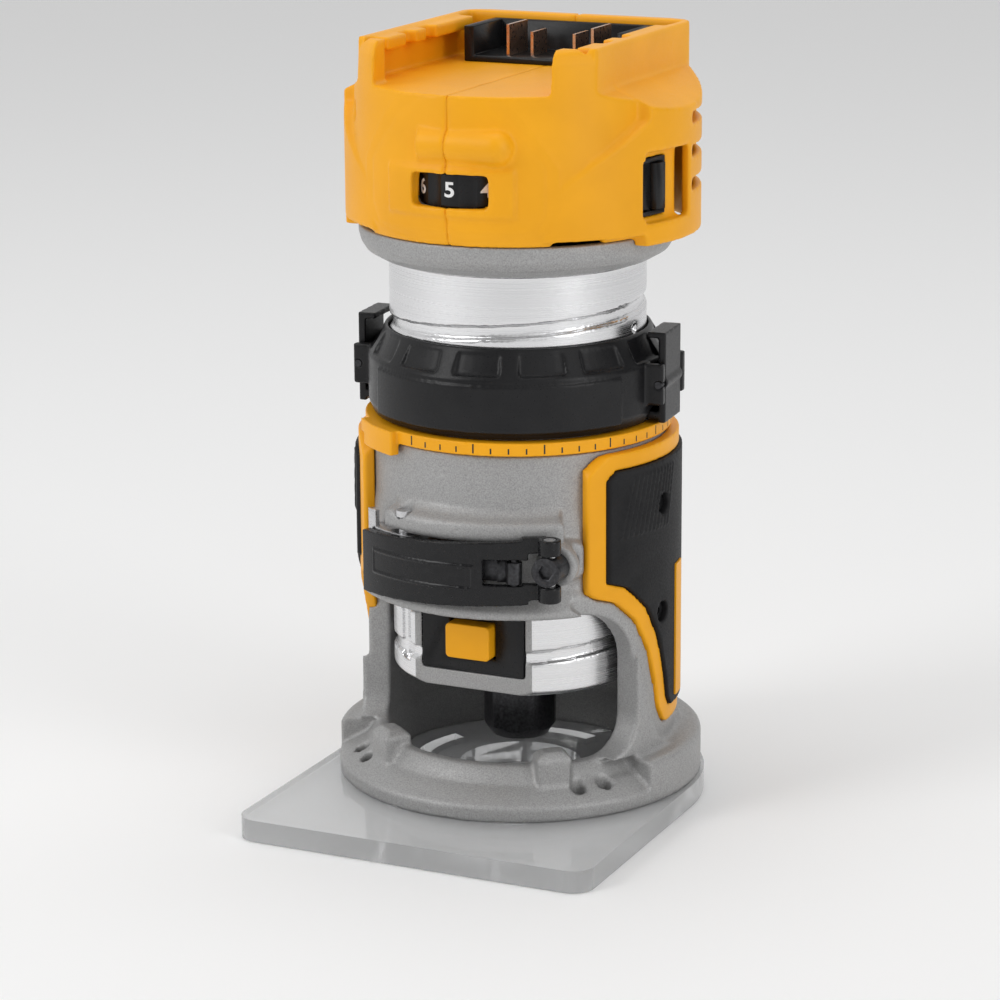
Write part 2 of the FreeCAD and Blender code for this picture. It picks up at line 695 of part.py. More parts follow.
def clamshells():
    """The yellow head as its two halves, meeting on the YZ plane."""
    dial_window = centred_box(S.dial_window_width, 12, S.dial_window_height,
                              (S.dial_offset, -46, S.dial_level - S.dial_window_height / 2))
    dial_window = rounded(dial_window, 1.2, straight_along_y)
    switch_window = centred_box(S.switch_width, 14, S.switch_height,
                                (0, -46, S.switch_level - S.switch_height / 2),
                                S.switch_bearing)
    switch_recess = centred_box(19, 9.4, S.switch_height + 3,
                                (2.6, -48.4, S.switch_level - S.switch_height / 2 - 1.2),
                                S.switch_bearing + 2)
    surround = common(
        centred_box(22, 6.8, S.switch_height + 6,
                    (0, -42.6, S.switch_level - S.switch_height / 2 - 3), S.switch_bearing),
        pod_outline(0.4, S.pod_skirt, S.pod_top - 6))
    surround = cut(surround, cut_copy(switch_window), cut_copy(switch_recess))
    vents = [box(120, 24, 3.2, (-60, 6, level)) for level in (168.6, 177.4, 186.2)]
    vent_core = box(60, 40, 40, (-30, 0, 160))
    dial_room = cylinder(S.dial_radius + S.running_gap, S.dial_height + 2 * S.running_gap,
                         dial_place(S.dial_level - S.dial_height / 2 - S.running_gap))
    gaps = [shell(36, 60, S.head_bottom - 3, S.head_bottom + 1.3, 19, start)
            for start in (-56, 36.5)]
    hollow = cut(head_solid(), head_cavity(), battery_bay(), dial_window, switch_window,
                 switch_recess, cut(fuse(*vents), vent_core), *gaps)
    brow = cut(turned([(S.head_radius - 1, 166.2), (S.head_radius + 0.2, 166.2),
                       (S.head_radius + 0.8, 167), (S.head_radius + 0.8, 178.6),
                       (S.head_radius + 0.2, 179.4), (S.head_radius - 1, 179.4)], 48, -24),
               cut_copy(dial_window))
    bumps = fuse(cylinder(4.8, 8.6, (-8.2, -40.6, 184.6), ALONG_X),
                 cylinder(4.8, 12.4, (0.4, -40.6, 184.6), ALONG_X),
                 ball(4.8, (12.8, -40.6, 184.6)))
    posts = fuse(*[cylinder(4.2, 2 * reach, (-reach, y, z), ALONG_X)
                   for y, z, seat, reach in screw_posts()])
    shells = cut(fuse(cut(bumps, head_cavity()), hollow, brow, surround, posts, battery_rails()),
                 dial_room)
    holes = []
    for y, z, seat, reach in screw_posts():
        holes.append(cylinder(1.55, seat + 9, (-seat, y, z), ALONG_X))
        holes.append(cylinder(3.2, 62 - seat, (-60, y, z), ALONG_X))
    collar_room = cylinder(S.collar_radius + S.fit_gap, 12, (0, 0, S.head_bottom - 12.05))
    shells = cut(shells, collar_room, *holes)
    seam = 0.03
    left = common(shells, box(80, 140, 80, (-80 - seam, -70, 140)))
    right = common(shells, box(80, 140, 80, (seam, -70, 140)))
    return left, right


def cut_copy(thing):
    """A second reference to a tool, so that two cuts can share it."""
    twin = document.addObject("Part::Compound", "Copy")
    twin.Links = [thing]
    return twin


def housing_screws():
    screws = []
    for y, z, seat, reach in screw_posts():
        shank = cylinder(1.5, seat + 6, (1 - seat, y, z), ALONG_X)
        head = cylinder(3.0, 2.0, (-seat, y, z), ALONG_X)
        socket = cylinder(1.3, 1.2, (-seat - 0.2, y, z), ALONG_X)
        screws.append(cut(fuse(shank, head), socket))
    return group(*screws)


def terminal_block():
    """Open-fronted black carrier at the back of the battery bay."""
    depth = S.head_back - 4 - S.fit_gap - S.terminal_front
    block = box(2 * S.terminal_half_width, depth, 9.6,
                (-S.terminal_half_width, S.terminal_front, S.bay_floor + S.fit_gap))
    cavity = box(2 * S.terminal_half_width - 6, depth - 1, 20,
                 (-S.terminal_half_width + 3, S.terminal_front - 1, S.bay_floor + 1.8))
    return cut(block, cavity)


def terminal_blades():
    floor = S.bay_floor + 1.8
    blades = [box(0.8, length, height, (x, y, floor)) for x, y, length, height in (
        (-12.4, 20.5, 12, 8.4), (-6.2, 22.5, 9, 6.4), (6.2, 22.5, 9, 6.4), (12.4, 20.5, 12, 8.4))]
    return group(*blades)


# ---------------------------------------------------------------- base

def radial_rod(radius, inner, outer, level, bearing):
    """A cylinder that points straight out from the spindle axis at one bearing."""
    return cylinder(radius, as_size(outer) - inner, (0, -as_size(inner), level), TOWARD_FRONT,
                    bearing)


def upright_rod(radius, distance, bottom, top, bearing):
    """A cylinder along Z at a distance from the spindle axis."""
    return cylinder(radius, as_size(top) - bottom, (0, -as_size(distance), bottom), UPRIGHT,
                    bearing)


def base_casting():
    """Cast base: flange, two legs with a wide front window, clamp band and neck."""
    bore = S.can_radius + S.running_gap
    leg_inner = S.leg_radius - S.leg_wall
    top = S.casting_top
    body = turned([
        (S.flange_opening, S.sub_base_thickness), (S.flange_radius, S.sub_base_thickness),
        (S.flange_radius, S.flange_top - 1), (S.flange_radius - 1, S.flange_top),
        (S.leg_radius, S.flange_top), (S.leg_radius, S.window_top + 2),
        (S.casting_radius + 1, S.window_top + 7.5), (S.casting_radius + 1, 80),
        (S.casting_radius, 88), (S.casting_radius, top), (bore + S.neck_wall, top),
        (bore + S.neck_wall, top + S.neck_height), (bore, top + S.neck_height),
        (bore, S.window_top + 0.5), (leg_inner, S.window_top - 2),
        (leg_inner, S.flange_top + 0.2), (S.flange_opening, S.flange_top + 0.2),
    ])
    edge = S.ledge_radius
    ledge = turned([(39.5, 80.6), (edge - 0.8, 81.2), (edge, S.ledge_level - 0.8),
                    (edge, S.ledge_level + 2.8), (edge - 0.8, S.ledge_level + 3.6),
                    (41.5, 87.6), (39.5, 90)], 68, -28)
    boss = cylinder(5.6, 9, (S.pivot_x, -28, S.bolt_level), TOWARD_FRONT)
    sill = S.flange_top + 0.35
    window = turned([(20, sill), (60, sill), (60, S.window_top),
                     (20, S.window_top)], S.window_left + S.window_right, -S.window_left)
    window = rounded(window, S.window_round, window_corner(S.window_top, 1))
    window = rounded(window, S.window_foot_round, window_corner(sill, 1))
    window = rounded(window, 6, window_corner(S.window_top, -1))
    window = rounded(window, 8, window_corner(sill, -1))
    relief = turned([(38.6, 18.6), (53, 18.6), (53, 10.2), (49.9, 10.2), (46, 12.4),
                     (42.5, 14.2), (40.5, 16.8)], 138, -69)
    lugs = [rounded(centred_box(9.4, 7.8, 12, (0, -39.7, 10.8), side * S.lug_bearing), 1.8,
                    straight_across, True) for side in (-1, 1)]
    solid = fuse(cut(body, window, relief), ledge, boss, *lugs)
    return cut(solid, *casting_pockets())


def window_corner(level, side):
    """A test for the level edge at one corner of the front window."""
    at_level = at_height(level.number)
    return lambda edge: (straight_across(edge) and at_level(edge)
                         and edge.BoundBox.Center.x * side > 0)


def casting_pockets():
    """Everything sunk into the casting: hook groove, key seat, shoe window and screw holes."""
    bore = S.can_radius + S.running_gap
    hook_groove = shell(bore + 0.8, 38, 107.7, 111.2)
    key_seat = centred_box(4.5, 4, 10.2, (0, -key_depth() + 1.95, 89.9), S.guide_bearing)
    shoe_window = shell(bore - 1, 43, 68.7, 80.3, 22.8, -11.4)
    bolt_hole = cylinder(2.55, 16, (S.pivot_x, -24, S.bolt_level), TOWARD_FRONT)
    grip_seats = common(grip_sector(S.casting_radius + 0.25, 60, 0.1),
                        grip_column(S.grip_border + 0.1))
    grip_steps = common(grip_sector(42.7, 60, 6), grip_column(S.grip_border + 5.5))
    pin_hole = upright_rod(1.55, S.anchor_radius, 79, 90, S.anchor_bearing)
    pin_head = upright_rod(2.3, S.anchor_radius, 85.2, 90, S.anchor_bearing)
    accessory_holes = [upright_rod(S.accessory_hole, S.accessory_radius, 4, 20, bearing)
                       for bearing in (-55, -45, 45, 55)]
    base_holes = [upright_rod(1.65, S.base_screw_circle, 4, 12.8, bearing)
                  for bearing in base_screw_bearings()]
    grip_holes = [radial_rod(1.45, 36.5, 42, level, bearing)
                  for level, bearing in grip_screw_places()]
    return (hook_groove, key_seat, shoe_window, bolt_hole, grip_seats,
            mirrored_in_x(grip_seats), grip_steps, mirrored_in_x(grip_steps), pin_hole, pin_head,
            *accessory_holes, *base_holes, *grip_holes)


def base_screw_bearings():
    return (-S.base_screw_bearing, S.base_screw_bearing, 180 - S.base_screw_bearing,
            S.base_screw_bearing - 180)


def grip_screw_places():
    """Level and bearing of each grip screw."""
    return [(level, side * 85) for side in (-1, 1)
            for level in (S.grip_screw_upper, S.grip_screw_lower)]


def sub_base():
    """Clear plastic foot: round at the back, square at the front, with a guide hole."""
    thickness = S.sub_base_thickness
    disc = cylinder(S.sub_base_radius, thickness)
    front = box(2 * S.sub_base_radius, S.sub_base_front, thickness,
                (-S.sub_base_radius, -S.sub_base_front, 0))
    front = rounded(front, S.sub_base_corner,
                    lambda edge: upright(edge) and edge.BoundBox.YMax < -1)
    guide = cylinder(S.guide_hole, 20, (0, 0, -5))
    slots = [shell(26.5, 30.5, -1, 10, spread, start)
             for spread, start in ((56, 62), (56, -118), (40, 160))]
    holes = []
    for bearing in base_screw_bearings():
        holes.append(upright_rod(1.8, S.base_screw_circle, -1, 8, bearing))
        holes.append(cone(3.6, 1.8, 1.8, (0, -S.base_screw_circle, 0.4), UPRIGHT, bearing))
        holes.append(upright_rod(3.6, S.base_screw_circle, -1, 0.4, bearing))
    return cut(fuse(disc, front), guide, *slots, *holes)


def sub_base_screws():
    screws = []
    for bearing in base_screw_bearings():
        head = cone(3.4, 1.6, 1.8, (0, -S.base_screw_circle, 0.5), UPRIGHT, bearing)
        shank = upright_rod(1.6, S.base_screw_circle, 2.2, 12.4, bearing)
        socket = upright_rod(1.2, S.base_screw_circle, 0, 1.6, bearing)
        screws.append(cut(fuse(head, shank), socket))
    return group(*screws)


def key_depth():
    """How far out the key's seat goes, from the spindle axis."""
    return S.can_radius + S.key_seat_depth


def guide_key():
    """Steel key in the bore that keeps the motor can from turning."""
    depth = key_depth() - S.can_radius + S.guide_slot_depth - 0.2
    return centred_box(S.guide_slot_width - 2 * S.running_gap, depth, 10,
                       (0, -key_depth() + depth / 2, 90), S.guide_bearing)


def clamp_shoe():
    """Brass shoe that the clamp presses against the can."""
    bore = S.can_radius + S.running_gap
    return shell(bore + S.fit_gap, S.casting_radius + 0.9, 69, 80, 22, -11)


# ---------------------------------------------------------------- grips

def grip_column(grow):
    """The grip's side-view outline, widened by an amount and carried out along +X."""
    sketch = document.addObject("Sketcher::SketchObject", "GripOutline")
    front = S.grip_frame_border - S.grip_front
    top = S.grip_top - S.grip_border
    bottom = S.grip_bottom + S.grip_border
    shoulder = S.grip_shoulder + 2
    tail_front = S.grip_border - S.grip_tail_front
    tail_back = S.grip_tail_back - S.grip_border
    outline = [
        (front, shoulder), (front, top - 2.4), (front + 2.4, top),
        (S.grip_back - 4, top), (S.grip_back - 1.6, top - 2.4), (S.grip_back - 1.6, shoulder),
        (35.5, 64.6), (29.8, 58), (26.6, 49), (24, 38), (tail_back, bottom + 3),
        (tail_back - 2.4, bottom), (tail_front + 2.6, bottom), (tail_front + 0.6, bottom + 3),
        (-1.6, 38), (-5, 48.6), (-10.8, 58.8), (-18.4, 66),
    ]
    draw_outline(sketch, [(as_size(a), as_size(b)) for a, b in outline])
    sketch.Placement = Placement(Vector(), Rotation(Vector(1, 1, 1), 120))
    edge = sketch
    if as_size(grow).number:
        edge = document.addObject("Part::Offset2D", "Widened")
        edge.Source = sketch
        edge.Join = "Arc"
        bind(edge, "Value", grow)
    column = document.addObject("Part::Extrusion", "GripColumn")
    column.Base = edge
    column.DirMode = "Custom"
    column.Dir = Vector(1, 0, 0)
    column.Solid = True
    column.LengthFwd = 60
    return column


def grip_sector(inner, outer, extra=0):
    """The curved slab that a grip's pieces are trimmed from."""
    spread = S.grip_spread + 2 * extra
    return shell(inner, outer, 15, 110, spread, S.grip_bearing - spread / 2)


def grip_frame():
    """Yellow border of the side grip, seated on the casting."""
    ring = cut(grip_column(S.grip_border), grip_column(0))
    return common(ring, grip_sector(S.casting_radius + 0.3, S.grip_frame_radius))


def grip_pad():
    """Black rubber pad inside the frame, with slanted ribs for the thumb."""
    pad = common(grip_column(-0.1), grip_sector(S.casting_radius + 0.3, S.grip_pad_radius))
    ribs = []
    for index in range(12):
        y = -21.5 + 1.75 * index
        ribs.append(prism("YZ_Plane", [(y, 80), (y + 0.7, 80), (y + 4.7, 96), (y + 4, 96)], 60))
    ribs = common(fuse(*ribs), shell(S.grip_pad_radius - 0.3, S.grip_pad_radius + 0.5, 78, 98))
    wells = [radial_rod(S.grip_screw_radius, 39, 47, level, 85)
             for level in (S.grip_screw_upper, S.grip_screw_lower)]
    strip_seat = shell(S.grip_pad_radius - 0.4, 47, 29.8, 67.2, 8.4, 95.8)
    return cut(fuse(pad, ribs), *wells, strip_seat)


def grip_inlay():
    """Plain yellow strip let into the pad."""
    strip = shell(S.grip_pad_radius - 0.4, S.grip_pad_radius + 0.4, 30, 67, 8, 96)
    return cut(strip, radial_rod(S.grip_screw_radius, 39, 47, S.grip_screw_lower, 85))


def grip_screws():
    screws = []
    for level, bearing in grip_screw_places():
        head = radial_rod(S.grip_screw_radius - 0.3, S.casting_radius + 0.3, 42.6, level, bearing)
        shank = radial_rod(1.4, 37, S.casting_radius + 1, level, bearing)
        socket = radial_rod(1.1, 41.2, 44, level, bearing)
        screws.append(cut(fuse(head, shank), socket))
    return group(*screws)


# ---------------------------------------------------------------- base clamp

def clamp_lever():
    """Curved clamp handle with a window for the link and two knuckles for its pivot."""
    inner = S.lever_radius
    outer = inner + S.lever_thickness
    slab_top = S.lever_bottom + S.lever_height
    band = shell(inner, outer, 60, 90, 63.5, -36)
    tilt = prism("XZ_Plane", [(-32, S.lever_bottom - 2.2), (26, S.lever_bottom + 1), (26, slab_top + 0.9),
                              (-32, slab_top - 2.7)], 30, (0, -30, 0))
    window = shell(inner - 2, outer + 2, 70.6, 77.6, 15.3, 12.9)
    slab = cut(common(band, tilt), window)
    low = (66.8, S.bolt_level - S.bolt_radius - S.running_gap)
    high = (S.bolt_level + S.bolt_radius + S.running_gap, 83.6)
    arms = []
    for bottom, top in (low, high):
        arms.append(shell(inner, outer, bottom, top, 8, 25.5))
        arms.append(cylinder(3, as_size(top) - bottom, (S.pivot_x, S.pivot_y, bottom)))
    outline = cut(shell(outer - 0.2, outer + 0.3, 69.2, 75.8, 39.6, -29.6),
                  shell(outer - 1, outer + 1, 69.8, 75.2, 38.6, -29.1))
    hole = cylinder(S.pivot_pin_radius + 0.08, 30, (S.pivot_x, S.pivot_y, 60))
    pin_hole = upright_rod(S.link_pin_radius + 0.05, S.link_radius, 68.3, 79.9,
                           S.link_pin_bearing)
    return cut(fuse(slab, outline, *arms), hole, pin_hole)


def link_pin():
    return upright_rod(S.link_pin_radius, S.link_radius, 68.4, 79.8, S.link_pin_bearing)


def link_strap():
    """Steel strap from the lever's link pin to the anchor bracket."""
    bottom = S.bolt_level - S.strap_width / 2 - 1.2
    top = bottom + S.strap_width
    inner = 43.4
    outer = inner + S.strap_thickness
    band = shell(inner, outer, bottom, top, 59, -39.5)
    hook = shell(42.7, outer, bottom, top, 1.1, -39.5)
    eye = upright_rod(2.1, S.link_radius, bottom, top, S.link_pin_bearing)
    neck = centred_box(4.4, 1.9, S.strap_width, (0, -44.85, bottom), 20.2)
    pin_hole = upright_rod(S.link_pin_radius + 0.08, S.link_radius, bottom - 1, top + 1,
                           S.link_pin_bearing)
    return cut(fuse(band, hook, eye, neck), pin_hole)


def lever_pivot_pin():
    return cylinder(S.pivot_pin_radius, 16.6, (S.pivot_x, S.pivot_y, 66.9))


def adjusting_bolt():
    """Barrel-headed bolt that carries the lever's pivot; its socket sets the clamping force."""
    head = cylinder(S.bolt_radius, 6.85, (S.pivot_x, -37.05, S.bolt_level), TOWARD_FRONT)
    shank = cylinder(2.5, 12, (S.pivot_x, -26, S.bolt_level), TOWARD_FRONT)
    cross_hole = cylinder(S.pivot_pin_radius + 0.03, 12, (S.pivot_x, S.pivot_y, 69))
    socket = document.addObject("Part::Prism", "Socket")
    socket.Polygon = 6
    socket.Circumradius = 2.0
    socket.Height = 3
    place(socket, (S.pivot_x, -42.8, S.bolt_level), TOWARD_FRONT)
    return cut(fuse(head, shank), cross_hole, socket)


def anchor_bracket():
    """Bent steel bracket that the strap hooks behind."""
    upright_leaf = shell(41.2, 42.4, 70, 79.5, 23, -38)
    shelf = shell(41.2, 45.2, 79.3, 80.6, 23, -38)
    flag = shell(43.9, 45.2, 80.5, 85, 5, -38)
    pin_hole = upright_rod(1.55, S.anchor_radius, 78, 82, S.anchor_bearing)
    return cut(fuse(upright_leaf, shelf, flag), pin_hole)


def anchor_pin():
    shank = upright_rod(1.5, S.anchor_radius, 79.3, 86, S.anchor_bearing)
    head = upright_rod(2.2, S.anchor_radius, 85.3, 86.9, S.anchor_bearing)
    return fuse(shank, head)


# ---------------------------------------------------------------- rings and release tabs

def scale_ring():
    """Yellow ring that is turned by its finger tab to zero the depth scale."""
    bottom = S.casting_top + 0.3
    top = bottom + S.scale_height
    inner = S.can_radius + S.neck_wall + 2 * S.running_gap
    ring = shell(inner, S.scale_radius, bottom, top)
    tab = shell(S.scale_radius - 0.6, S.scale_radius + 2.1, S.casting_top - 2.8, top, 21, -47)
    wing = shell(S.scale_radius - 0.6, S.scale_radius + 2.1, bottom, top, 5, -51)
    return fuse(cut(tab, shell(30, S.casting_radius + 0.6, 90, bottom)), ring, wing)


def depth_ring():
    """Grey adjusting ring with scalloped bevel, two thread lugs and ears for the tabs."""
    bottom = S.ring_bottom
    radius = S.ring_radius
    inner = S.can_radius + 0.5
    neck_room = S.can_radius + S.neck_wall + 2 * S.running_gap
    bevel = S.ring_top - 7.8
    body = turned([
        (neck_room, bottom), (radius - 1.4, bottom), (radius, bottom + 3.4), (radius, bevel),
        (S.ring_mouth, S.ring_top), (inner, S.ring_top), (inner, S.casting_top + 9.9),
        (neck_room, S.casting_top + 9.9),
    ])
    pocket_count = 14
    pockets = [turned([(radius - 1.6, bevel + 1), (radius + 2, bevel + 1),
                       (radius + 2, S.ring_top - 1.2), (S.ring_mouth + 0.4, S.ring_top - 1.2)],
                      18.6, index * 360 / pocket_count - 1) for index in range(pocket_count)]
    panel = shell(radius - 1, radius + S.ring_panel, 109.5, 122, 108, -42)
    ears = []
    slots = []
    for bearing in tab_bearings():
        slots.append(centred_box(S.tab_width + 1, 12, 4, (0, -39, bottom - 0.2), bearing))
        for side in (-1, 1):
            ears.append(centred_box(2.6, 4.6, 11,
                                    (side * (S.tab_width / 2 + 1.8), -41.6, 113), bearing))
    lugs = [cut(centred_box(8, 1.7, 2.4, (0, -S.can_radius - 0.25, level - 1.2), bearing),
                shell(10, S.can_radius - 0.6, 100, 130)) for bearing, level in lug_places()]
    pin_holes = [tab_pin(bearing, 0.03) for bearing in tab_bearings()]
    return cut(fuse(cut(body, *pockets), panel, *lugs, *ears), *slots, *pin_holes)


def lug_places():
    """Bearing and level of the two lugs, which lie in neighbouring turns of the groove."""
    first = S.groove_start + S.groove_pitch * (6 + (5 - S.groove_start_bearing) / 360)
    second = S.groove_start + S.groove_pitch * (5 + (185 - S.groove_start_bearing) / 360)
    return ((5, first), (185, second))


def tab_bearings():
    return (S.tab_bearing, S.tab_bearing - 180)


def tab_pin(bearing, extra=0):
    half = S.tab_width / 2 + 3.1
    return cylinder(S.tab_pin_radius + extra, 2 * half,
                    (-half, -S.tab_pivot_radius, S.tab_pivot_level), ALONG_X, bearing)


def tab_pins():
    return group(*[tab_pin(bearing) for bearing in tab_bearings()])


def release_tab(bearing):
    """Black rocking tab whose hook holds the ring down on the base's neck."""
    width = S.tab_width
    plate = centred_box(width, 2, S.tab_top - S.tab_bottom,
                        (0, -S.tab_pivot_radius, S.tab_bottom), bearing)
    lip = centred_box(width, 5, 1.6, (0, -S.tab_pivot_radius + 1.5, S.tab_top - 1.6), bearing)
    hook_inner = S.can_radius + 1.4
    hook_outer = S.tab_pivot_radius - 0.7
    hook = centred_box(width, hook_outer - hook_inner, 2,
                       (0, -(hook_outer + hook_inner) / 2, S.tab_bottom + 1), bearing)
    hook = cut(hook, shell(20, hook_inner, 100, 120))
    barrel = cylinder(1.9, width, (-width / 2, -S.tab_pivot_radius + 0.3, S.tab_pivot_level),
                      ALONG_X, bearing)
    return cut(fuse(plate, lip, hook, barrel), tab_pin(bearing, 0.08))


# ---------------------------------------------------------------- the finished pieces

left_shell, right_shell = clamshells()
seat_level = S.can_bottom + 2
nose_fit = S.nose_radius + S.fit_gap
stator_inner = S.rotor_radius + S.air_gap
stator_outer = S.can_radius - S.can_wall - S.fit_gap
winding_outer = stator_outer - 2.4
stator_top = S.stator_bottom + S.stator_height

node("motor_can", motor_can())
node("lock_panel", lock_panel())
node("lock_button", lock_button())
node("lock_plunger", lock_plunger())
node("lower_bearing",
     bearing_race(nose_fit, S.lower_bearing_radius, seat_level, S.lower_bearing_width))
node("stator_core", shell(stator_inner, stator_outer, S.stator_bottom, stator_top))
node("stator_windings", group(
    shell(stator_inner + 1.5, winding_outer, S.stator_bottom - S.winding_height, S.stator_bottom),
    shell(stator_inner + 1.5, winding_outer, stator_top, stator_top + S.winding_height)))
node("bearing_bracket", bearing_bracket())
node("upper_bearing", bearing_race(S.shaft_radius + S.fit_gap, S.upper_bearing_radius,
                                   S.upper_bearing_level, S.upper_bearing_width))
node("controller_case", controller_case())
node("controller_board", controller_board())
node("speed_pot", speed_pot())
node("speed_dial", speed_dial())
node("switch_body", switch_body())
node("power_rocker", power_rocker())
node("housing_left", left_shell)
node("housing_right", right_shell)
node("housing_screws", housing_screws())
node("terminal_block", terminal_block())
node("terminal_blades", terminal_blades())
node("spindle", spindle())
node("rotor", shell(S.shaft_radius + S.fit_gap, S.rotor_radius, S.stator_bottom, stator_top))
node("fan", fan())
node("collet", collet())
node("collet_nut", collet_nut())
node("base_casting", base_casting())
node("sub_base", sub_base())
node("sub_base_screws", sub_base_screws())
node("guide_key", guide_key())
node("clamp_shoe", clamp_shoe())
node("grip_frame_right", grip_frame())
node("grip_frame_left", mirrored_in_x(grip_frame()))
node("grip_pad_right", grip_pad())
node("grip_pad_left", mirrored_in_x(grip_pad()))
node("grip_inlay_right", grip_inlay())
node("grip_inlay_left", mirrored_in_x(grip_inlay()))
node("grip_screws", grip_screws())
node("clamp_lever", clamp_lever())
node("link_pin", link_pin())
node("link_strap", link_strap())
node("lever_pivot_pin", lever_pivot_pin())
node("adjusting_bolt", adjusting_bolt())
node("anchor_bracket", anchor_bracket())
node("anchor_pin", anchor_pin())
node("scale_ring", scale_ring())
node("depth_ring", depth_ring())
node("tab_pins", tab_pins())
node("release_tab_right", release_tab(S.tab_bearing))
node("release_tab_left", release_tab(S.tab_bearing - 180))

document.recompute()
faulty = [thing.Label for thing in document.Objects
          if "Invalid" in thing.State or "Error" in thing.State]
faulty += [piece.Label for piece in nodes if piece.Shape.isNull() or not piece.Shape.isValid()]
if faulty:
    raise RuntimeError("pieces that did not build: " + ", ".join(faulty))

os.makedirs("parts", exist_ok=True)
for piece in nodes:
    piece.Shape.exportStep(f"parts/{piece.Label}.step")
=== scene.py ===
"""Looks of the trim router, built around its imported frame.

Lengths in the helpers are in millimetres and become metres when a mesh is made.
"""
import json
import math

import bmesh
import bpy
import numpy as np
from mathutils import Matrix, Vector


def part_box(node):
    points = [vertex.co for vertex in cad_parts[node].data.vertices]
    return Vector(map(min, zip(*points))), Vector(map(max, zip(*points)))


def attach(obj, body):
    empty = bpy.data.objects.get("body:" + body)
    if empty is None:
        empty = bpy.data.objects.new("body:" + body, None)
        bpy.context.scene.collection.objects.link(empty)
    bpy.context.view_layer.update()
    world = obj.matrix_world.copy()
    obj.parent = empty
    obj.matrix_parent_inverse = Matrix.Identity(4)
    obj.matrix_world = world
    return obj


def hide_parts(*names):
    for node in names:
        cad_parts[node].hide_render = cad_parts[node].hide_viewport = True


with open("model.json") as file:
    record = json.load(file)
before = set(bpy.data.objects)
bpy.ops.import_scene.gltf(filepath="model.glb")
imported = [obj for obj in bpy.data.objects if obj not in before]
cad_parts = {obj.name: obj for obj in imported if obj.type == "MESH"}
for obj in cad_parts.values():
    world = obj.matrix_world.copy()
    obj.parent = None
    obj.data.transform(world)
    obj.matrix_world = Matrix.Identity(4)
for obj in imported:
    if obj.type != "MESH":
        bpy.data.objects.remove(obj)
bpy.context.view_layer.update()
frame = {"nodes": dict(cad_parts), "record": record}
nodes = frame["nodes"]
MM = 0.001
SEAM_REACH = 0.45      # points this near the seam are moved onto its faces
CAN_SHOULDER = 149.9   # the motor can is left as cast above this level
LOCK_FRAME_HALF = 17.3
LOCK_FRAME_TOP = 68
LOCK_FLAT = -30.0
DIAL_PLACES = 9
DIAL_RADIUS = 14.0


# ---------------------------------------------------------------- materials

class Paint:
    """A Principled material with a few shortcuts for procedural detail."""

    def __init__(self, name, color, rough=0.5, metal=0.0, **sockets):
        self.material = bpy.data.materials.new(name)
        self.material.use_nodes = True
        self.tree = self.material.node_tree
        self.shader = self.tree.nodes["Principled BSDF"]
        self.shader.inputs["Base Color"].default_value = (*color, 1)
        self.shader.inputs["Roughness"].default_value = rough
        self.shader.inputs["Metallic"].default_value = metal
        for socket, value in sockets.items():
            self.shader.inputs[socket.replace("_", " ")].default_value = value
        self.place = self.tree.nodes.new("ShaderNodeTexCoord").outputs["Object"]

    def node(self, kind, **settings):
        node = self.tree.nodes.new(kind)
        for name, value in settings.items():
            if name in node.inputs:
                node.inputs[name].default_value = value
            else:
                setattr(node, name, value)
        return node

    def link(self, start, end):
        self.tree.links.new(start, end)

    def noise(self, scale, detail=3.0, stretch=(1, 1, 1)):
        """Noise over the object, in features per metre."""
        scaled = self.node("ShaderNodeMapping")
        scaled.inputs["Scale"].default_value = stretch
        self.link(self.place, scaled.inputs["Vector"])
        noise = self.node("ShaderNodeTexNoise", Scale=scale, Detail=detail)
        self.link(scaled.outputs["Vector"], noise.inputs["Vector"])
        return noise.outputs["Fac"]

    def remap(self, value, low, high, start=0.3, end=0.7):
        ramp = self.node("ShaderNodeMapRange")
        for name, number in (("From Min", start), ("From Max", end),
                             ("To Min", low), ("To Max", high)):
            ramp.inputs[name].default_value = number
        self.link(value, ramp.inputs["Value"])
        return ramp.outputs["Result"]

    def roughness(self, value, low, high):
        self.link(self.remap(value, low, high), self.shader.inputs["Roughness"])
        return self

    def tint(self, value, dark, light, start=0.3, end=0.7):
        mix = self.node("ShaderNodeMix", data_type="RGBA")
        for socket in mix.inputs:
            if socket.type == "RGBA":
                socket.default_value = (*(dark if socket.name == "A" else light), 1)
        self.link(self.remap(value, 0, 1, start, end), mix.inputs["Factor"])
        mixed = next(socket for socket in mix.outputs if socket.type == "RGBA")
        self.link(mixed, self.shader.inputs["Base Color"])
        return self

    def bump(self, value, depth, strength=1.0):
        """Relief from a value, with its depth in millimetres."""
        bump = self.node("ShaderNodeBump", Strength=strength, Distance=depth * MM)
        self.link(value, bump.inputs["Height"])
        self.link(bump.outputs["Normal"], self.shader.inputs["Normal"])
        return self


